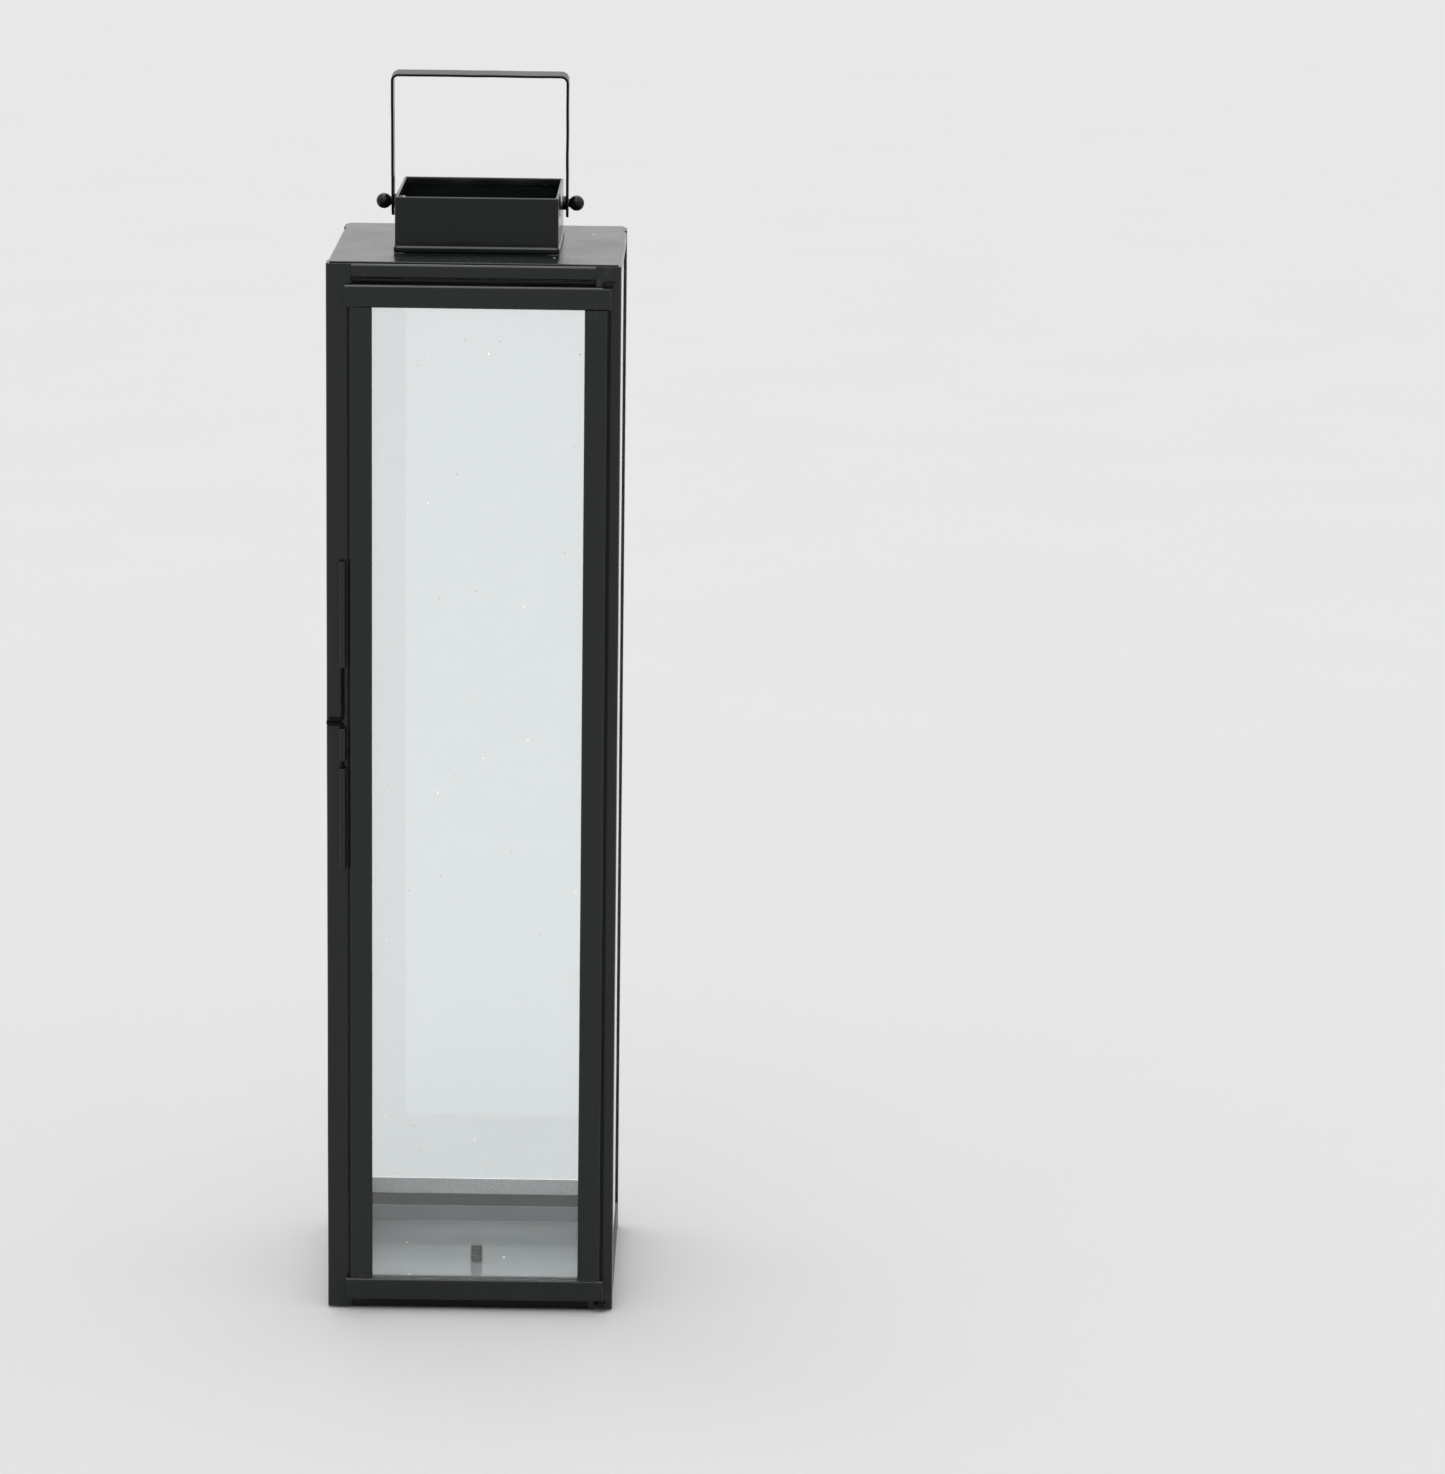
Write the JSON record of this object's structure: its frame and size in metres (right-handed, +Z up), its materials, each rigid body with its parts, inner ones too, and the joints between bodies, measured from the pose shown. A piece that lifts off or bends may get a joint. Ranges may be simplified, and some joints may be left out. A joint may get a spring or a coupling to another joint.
{
  "type": "candle lantern",
  "caption": "Tall square glazed candle lantern: folded black steel frame, hinged glass door with a turning wire latch, open square chimney and a strap handle on ball-knob pivots.",
  "frame": {"origin": "under the middle of the whole footprint (door included), on the surface that the feet stand on", "axes": "+Z up, -Y towards the door (front), +X to the right seen from the front"},
  "size_m": [0.2032, 0.2088, 0.8741],
  "materials": {
    "black_paint": "satin black paint on folded sheet steel",
    "gloss_black_metal": "glossier black paint on turned steel",
    "clear_glass": "clear float glass, faint green",
    "zinc_steel": "dull zinc-plated steel",
    "dark_wire": "blackened steel wire, worn",
    "black_rubber": "matt black rubber"
  },
  "bodies": {
    "frame": {"ball_knob_left": "gloss_black_metal", "ball_knob_right": "gloss_black_metal", "bottom_rail_back": "black_paint", "bottom_rail_front": "black_paint", "bottom_rail_left": "black_paint", "bottom_rail_right": "black_paint", "candle_stud": "zinc_steel", "chimney_clips": "black_paint", "chimney_wall_back": "black_paint", "chimney_wall_front": "black_paint", "chimney_wall_left": "black_paint", "chimney_wall_right": "black_paint", "corner_post_back_left": "black_paint", "corner_post_back_right": "black_paint", "corner_post_front_left": "black_paint", "corner_post_front_right": "black_paint", "floor_pan": "black_paint", "glass_back": "clear_glass", "glass_left": "clear_glass", "glass_retainer_back_left": "black_paint", "glass_retainer_back_right": "black_paint", "glass_retainer_front_left": "black_paint", "glass_retainer_front_right": "black_paint", "glass_right": "clear_glass", "glazing_strips": "zinc_steel", "hinge_lug_lower": "black_paint", "hinge_lug_upper": "black_paint", "hinge_washer": "zinc_steel", "latch_sleeve_lower": "black_paint", "latch_sleeve_upper": "black_paint", "pivot_bolt_left": "zinc_steel", "pivot_bolt_right": "zinc_steel", "pivot_washers": "zinc_steel", "roof_plate": "black_paint", "rubber_feet": "black_rubber", "strap_spacers": "gloss_black_metal", "top_gussets": "black_paint", "top_rail_back": "black_paint", "top_rail_front": "black_paint", "top_rail_left": "black_paint", "top_rail_right": "black_paint"},
    "door": {"door_beads": "black_paint", "door_bottom_rail": "black_paint", "door_glass": "clear_glass", "door_stile_left": "black_paint", "door_stile_right": "black_paint", "door_top_rail": "black_paint", "hinge_block_lower": "black_paint", "hinge_block_upper": "black_paint", "hinge_pin_lower": "zinc_steel", "hinge_pin_upper": "zinc_steel"},
    "latch": {"latch_wire": "dark_wire", "latch_collar": "black_paint"},
    "handle": {"handle_strap": "black_paint"}
  },
  "joints": [
    {"name": "door_hinge", "type": "hinge", "parent": "frame", "child": "door", "pos_m": [0.0928, -0.1019, 0], "axis": [0, 0, 1], "range_deg": [0, 110]},
    {"name": "latch_turn", "type": "hinge", "parent": "frame", "child": "latch", "pos_m": [-0.0902, -0.1015, 0], "axis": [0, 0, 1], "range_deg": [0, 143]},
    {"name": "handle_swing", "type": "hinge", "parent": "frame", "child": "handle", "pos_m": [0, 0.0028, 0.7818], "axis": [1, 0, 0], "range_deg": [-109, 97.3]}
  ]
}
